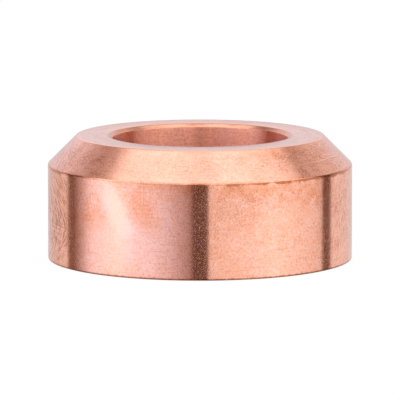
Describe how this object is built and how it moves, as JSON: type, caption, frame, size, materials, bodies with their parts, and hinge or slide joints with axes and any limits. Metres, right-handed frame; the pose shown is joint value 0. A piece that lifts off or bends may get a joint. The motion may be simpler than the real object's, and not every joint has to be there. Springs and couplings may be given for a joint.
{
  "type": "plasma torch deflector",
  "caption": "Thick turned copper ring with a conical nose, a plain bore and a tapped rear socket, screwed onto a plasma cutting torch to shed spatter.",
  "frame": {"origin": "centre of the flat rear face, on the ring's axis, where the ring stands", "axes": "+Z along the ring's axis, from the rear face towards the conical nose and its flat front face; X and Y are any two directions across it"},
  "size_m": [0.032, 0.032, 0.013],
  "materials": {
    "turned_copper": "bare turned copper, satin, with a light uneven tarnish"
  },
  "bodies": {
    "root": {"deflector_ring": "turned_copper"}
  },
  "joints": []
}
